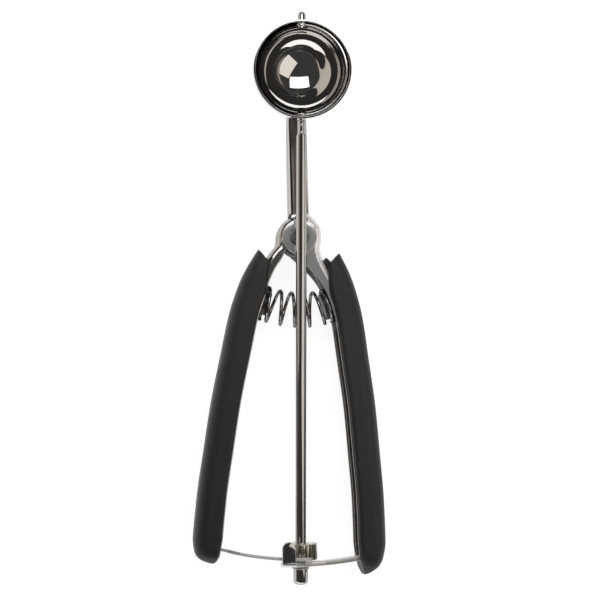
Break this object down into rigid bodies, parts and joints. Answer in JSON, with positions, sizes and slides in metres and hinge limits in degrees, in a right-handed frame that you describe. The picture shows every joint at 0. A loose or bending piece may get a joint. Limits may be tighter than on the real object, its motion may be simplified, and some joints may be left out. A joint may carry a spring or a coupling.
{
  "type": "ice cream scoop",
  "caption": "Squeeze-handle ice cream scoop with a round polished bowl and a rack-and-pinion scraper that sweeps the bowl.",
  "frame": {"origin": "centre of the scoop's outline seen from the front, on the plane that the backs of the two grips rest on", "axes": "+Y along the scoop towards the bowl, +Z out of the bowl's mouth, +X towards the lever that carries the bowl"},
  "size_m": [0.0718, 0.2135, 0.0321],
  "materials": {
    "polished_steel": "polished",
    "pressed_steel": "satin",
    "spring_steel": "drawn wire",
    "gear_brass": "satin",
    "grip_rubber": "soft matt",
    "seat_plastic": "matt"
  },
  "bodies": {
    "frame": {"neck_frame": "polished_steel", "bowl": "polished_steel", "right_grip": "grip_rubber", "right_spring_seat": "seat_plastic", "stirrup": "pressed_steel", "stirrup_rivets": "pressed_steel", "pivot_rivet": "pressed_steel", "pivot_washers": "pressed_steel", "return_spring": "spring_steel"},
    "left_arm": {"left_lever": "polished_steel", "left_grip": "grip_rubber", "left_spring_seat": "seat_plastic", "rack": "pressed_steel", "rack_rivets": "pressed_steel"},
    "scraper": {"rod": "polished_steel", "scraper_blade": "polished_steel", "top_pivot_pin": "polished_steel", "stem_stakes": "polished_steel", "pinion": "gear_brass", "thrust_washer": "pressed_steel", "rod_cap": "polished_steel"}
  },
  "joints": [
    {"name": "lever_pivot", "type": "hinge", "parent": "frame", "child": "left_arm", "pos_m": [0.00425, 0.02332, 0.009], "axis": [0, 0, 1], "range_deg": [0, 8.27], "stiffness_Nm_per_rad": 6, "springref_deg": -7.45, "deforming": ["return_spring"]},
    {"name": "scraper_spin", "type": "hinge", "parent": "frame", "child": "scraper", "pos_m": [0.00425, 0.02332, 0.0208], "axis": [0, 0.9958, 0.0918], "range_deg": [0, 180]}
  ],
  "couplings": [
    {"joint": "scraper_spin", "follows": "lever_pivot", "ratio": 21.753}
  ]
}
